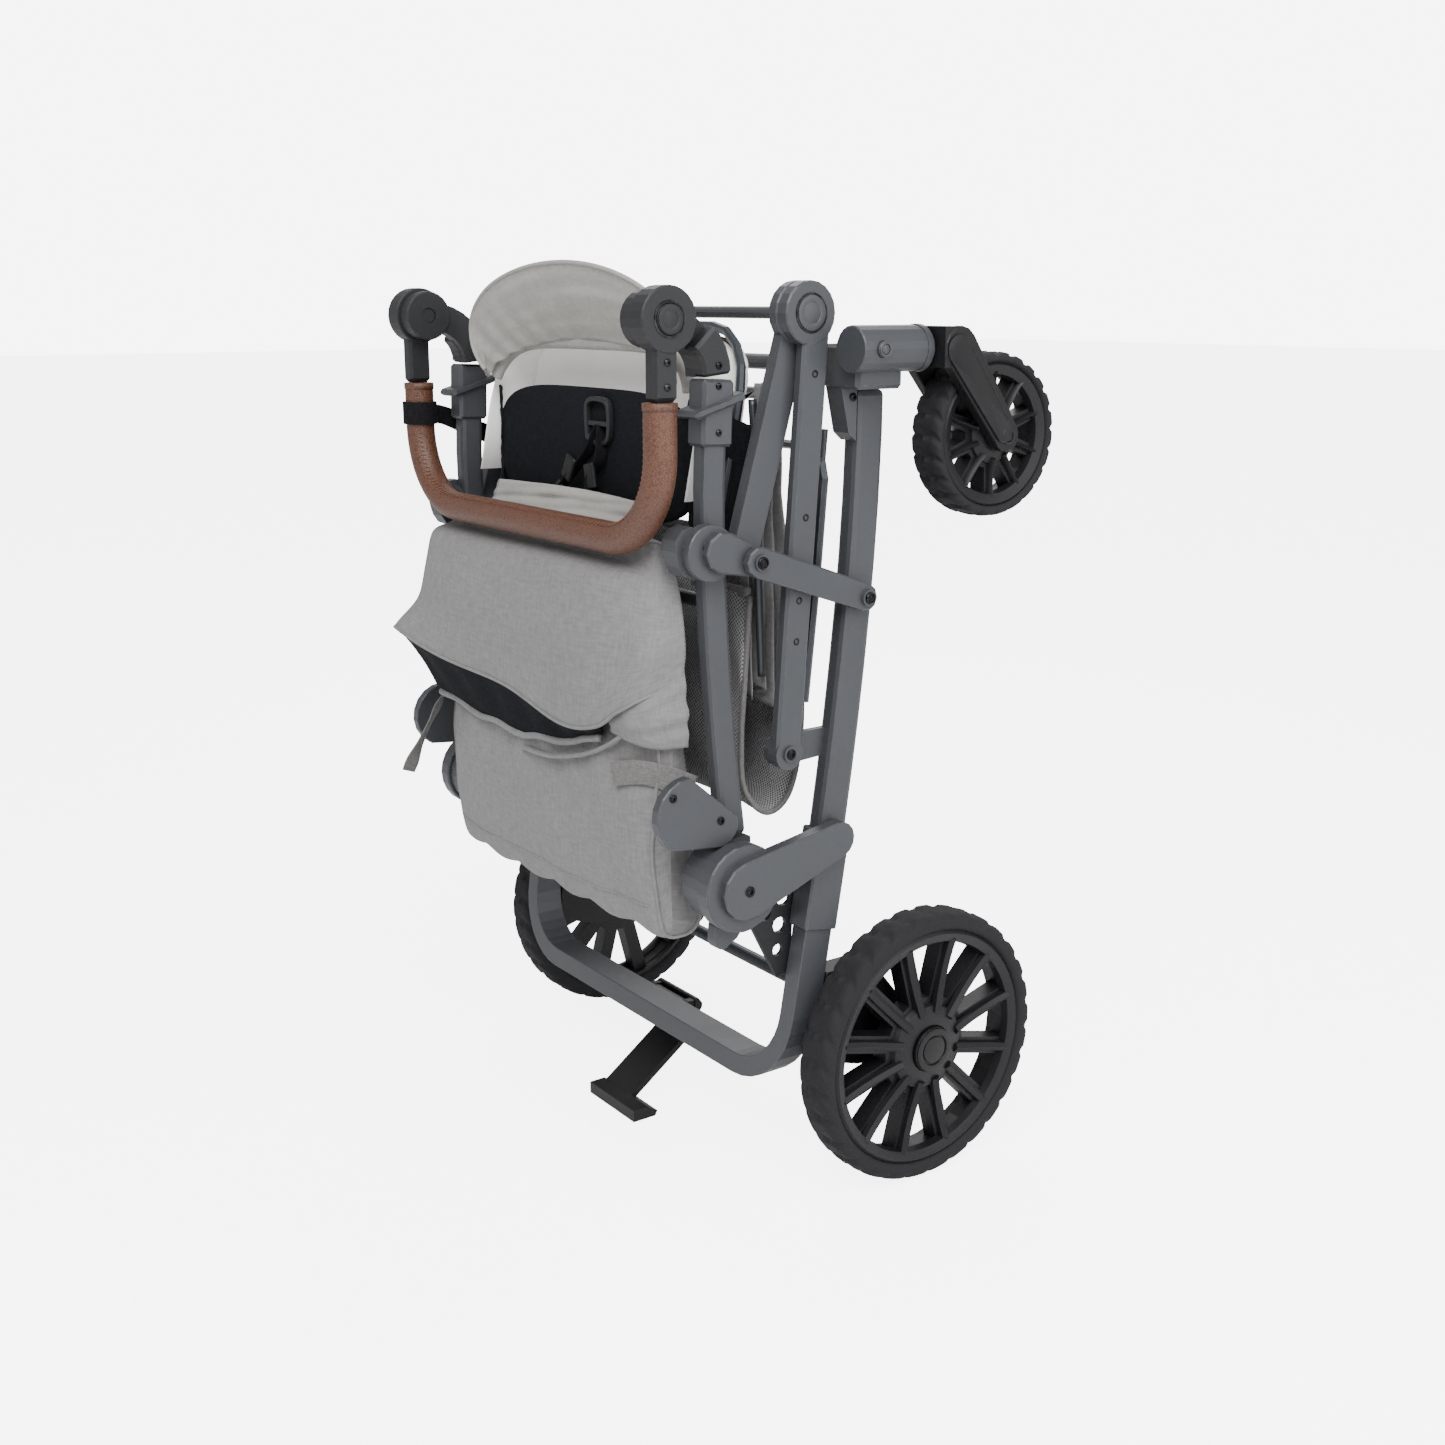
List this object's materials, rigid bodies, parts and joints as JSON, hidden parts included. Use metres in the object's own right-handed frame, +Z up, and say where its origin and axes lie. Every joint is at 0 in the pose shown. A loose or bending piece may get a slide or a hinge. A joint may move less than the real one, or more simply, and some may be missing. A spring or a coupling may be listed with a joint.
{
  "type": "pet stroller",
  "caption": "Folding pet stroller stored folded and standing, with tube frame, folding handlebar, caster wheels, mesh cabin, canopy and storage bag.",
  "frame": {"origin": "centre of the bounding box's base, on the floor", "axes": "+Z up as it stands folded, +X to the right of the person pushing, -Y the handlebar and bag side, +Y the caster side"},
  "size_m": [0.668, 0.4939, 0.9587],
  "materials": {
    "frame": "satin",
    "charcoal": "matte",
    "black": "matte",
    "tyre": "matte",
    "wheel": "satin",
    "steel": "satin",
    "leather": "stitched",
    "heather": "heather weave",
    "lining": "plain",
    "canopy": "plain weave",
    "mesh": "open mesh",
    "webbing": "webbing"
  },
  "bodies": {
    "chassis": {"side_rail_right": "frame", "side_rail_left": "frame", "hinge_arm_right": "frame", "hinge_arm_left": "frame", "brace_plate_right": "charcoal", "brace_plate_left": "charcoal", "axle_housing_right": "black", "axle_housing_left": "black", "caster_socket_right": "frame", "caster_socket_left": "frame", "base_bow": "frame", "rear_axle": "steel", "floor_hoop": "steel", "front_cross_bar": "frame", "cabin_mesh": "mesh"},
    "pedal": {"brake_pedal": "black"},
    "handle_frame": {"storage_bag": "heather", "bag_flap": "heather", "back_panel": "lining", "harness_buckle": "charcoal", "handle_tube_right": "frame", "handle_tube_left": "frame", "hinge_drum_right": "frame", "hinge_drum_left": "frame", "side_cover_right": "frame", "side_cover_left": "frame", "corner_bracket_right": "frame", "corner_bracket_left": "frame", "elbow_right": "charcoal", "elbow_left": "charcoal", "rear_cross_bar": "steel"},
    "handlebar": {"handlebar_grip": "leather", "grip_strap": "webbing", "handlebar_arm_right": "charcoal", "handlebar_arm_left": "charcoal"},
    "canopy": {"canopy_bow": "steel", "canopy_hood": "canopy", "canopy_visor": "canopy"},
    "top_rails": {"top_rail_frame": "frame"},
    "posts": {"post_frame": "frame"},
    "rear_wheel_right": {"rear_wheel_right": "wheel", "rear_tyre_right": "tyre", "hub_cap_right": "black"},
    "caster_right": {"caster_fork_right": "black"},
    "front_wheel_right": {"front_wheel_right": "wheel", "front_tyre_right": "tyre"},
    "caster_button_right": {"caster_button_right": "frame"},
    "release_collar_right": {"release_collar_right": "frame"},
    "latch_right": {"latch_right": "frame"},
    "handle_button_right": {"handle_button_right": "charcoal"},
    "rear_wheel_left": {"rear_wheel_left": "wheel", "rear_tyre_left": "tyre", "hub_cap_left": "black"},
    "caster_left": {"caster_fork_left": "black"},
    "front_wheel_left": {"front_wheel_left": "wheel", "front_tyre_left": "tyre"},
    "caster_button_left": {"caster_button_left": "frame"},
    "release_collar_left": {"release_collar_left": "frame"},
    "latch_left": {"latch_left": "frame"},
    "handle_button_left": {"handle_button_left": "charcoal"}
  },
  "joints": [
    {"name": "fold_hinge", "type": "hinge", "parent": "chassis", "child": "handle_frame", "pos_m": [0, -0.1206, 0.362], "axis": [1, 0, 0], "range_deg": [0, 115]},
    {"name": "post_hinge", "type": "hinge", "parent": "chassis", "child": "posts", "pos_m": [0, -0.0601, 0.488], "axis": [1, 0, 0], "range_deg": [0, 93.8]},
    {"name": "top_rail_hinge", "type": "hinge", "parent": "handle_frame", "child": "top_rails", "pos_m": [0, -0.1046, 0.683], "axis": [1, 0, 0], "range_deg": [-86.8, 0]},
    {"name": "handlebar_hinge", "type": "hinge", "parent": "handle_frame", "child": "handlebar", "pos_m": [0, -0.1891, 0.906], "axis": [1, 0, 0], "range_deg": [-180, 0]},
    {"name": "canopy_hinge", "type": "hinge", "parent": "handle_frame", "child": "canopy", "pos_m": [0, -0.1081, 0.69], "axis": [1, 0, 0], "range_deg": [-46, 0]},
    {"name": "pedal_hinge", "type": "hinge", "parent": "chassis", "child": "pedal", "pos_m": [0, -0.0051, 0.114], "axis": [1, 0, 0], "range_deg": [0, 12]},
    {"name": "rear_wheel_right_spin", "type": "hinge", "parent": "chassis", "child": "rear_wheel_right", "pos_m": [0.302, 0.0969, 0.15], "axis": [1, 0, 0], "continuous": true},
    {"name": "caster_right_swivel", "type": "hinge", "parent": "chassis", "child": "caster_right", "pos_m": [0.298, 0.0969, 0.878], "axis": [0, 1, 0], "continuous": true},
    {"name": "front_wheel_right_spin", "type": "hinge", "parent": "caster_right", "child": "front_wheel_right", "pos_m": [0.298, 0.1649, 0.792], "axis": [1, 0, 0], "continuous": true},
    {"name": "latch_right_hinge", "type": "hinge", "parent": "handle_frame", "child": "latch_right", "pos_m": [0.28, -0.1046, 0.683], "axis": [1, 0, 0], "range_deg": [0, 60]},
    {"name": "caster_button_right_press", "type": "slide", "parent": "chassis", "child": "caster_button_right", "axis": [-1, 0, 0], "range_m": [0, 0.0025], "stiffness_N_per_m": 300, "springref_m": -0.0005},
    {"name": "handle_button_right_press", "type": "slide", "parent": "handlebar", "child": "handle_button_right", "axis": [-1, 0, 0], "range_m": [0, 0.003], "stiffness_N_per_m": 300, "springref_m": -0.0005},
    {"name": "collar_right_slide", "type": "slide", "parent": "handle_frame", "child": "release_collar_right", "axis": [0, 0, -1], "range_m": [0, 0.01], "stiffness_N_per_m": 400, "springref_m": -0.002},
    {"name": "rear_wheel_left_spin", "type": "hinge", "parent": "chassis", "child": "rear_wheel_left", "pos_m": [-0.302, 0.0969, 0.15], "axis": [1, 0, 0], "continuous": true},
    {"name": "caster_left_swivel", "type": "hinge", "parent": "chassis", "child": "caster_left", "pos_m": [-0.298, 0.0969, 0.878], "axis": [0, 1, 0], "continuous": true},
    {"name": "front_wheel_left_spin", "type": "hinge", "parent": "caster_left", "child": "front_wheel_left", "pos_m": [-0.298, 0.1649, 0.792], "axis": [1, 0, 0], "continuous": true},
    {"name": "latch_left_hinge", "type": "hinge", "parent": "handle_frame", "child": "latch_left", "pos_m": [-0.28, -0.1046, 0.683], "axis": [1, 0, 0], "range_deg": [0, 60]},
    {"name": "caster_button_left_press", "type": "slide", "parent": "chassis", "child": "caster_button_left", "axis": [1, 0, 0], "range_m": [0, 0.0025], "stiffness_N_per_m": 300, "springref_m": -0.0005},
    {"name": "handle_button_left_press", "type": "slide", "parent": "handlebar", "child": "handle_button_left", "axis": [1, 0, 0], "range_m": [0, 0.003], "stiffness_N_per_m": 300, "springref_m": -0.0005},
    {"name": "collar_left_slide", "type": "slide", "parent": "handle_frame", "child": "release_collar_left", "axis": [0, 0, -1], "range_m": [0, 0.01], "stiffness_N_per_m": 400, "springref_m": -0.002}
  ],
  "couplings": [
    {"joint": "post_hinge", "follows": "fold_hinge", "ratio": 0.815},
    {"joint": "top_rail_hinge", "follows": "fold_hinge", "ratio": -0.754},
    {"joint": "canopy_hinge", "follows": "fold_hinge", "ratio": -0.39},
    {"joint": "collar_left_slide", "follows": "collar_right_slide", "ratio": 1},
    {"joint": "latch_left_hinge", "follows": "latch_right_hinge", "ratio": 1}
  ]
}
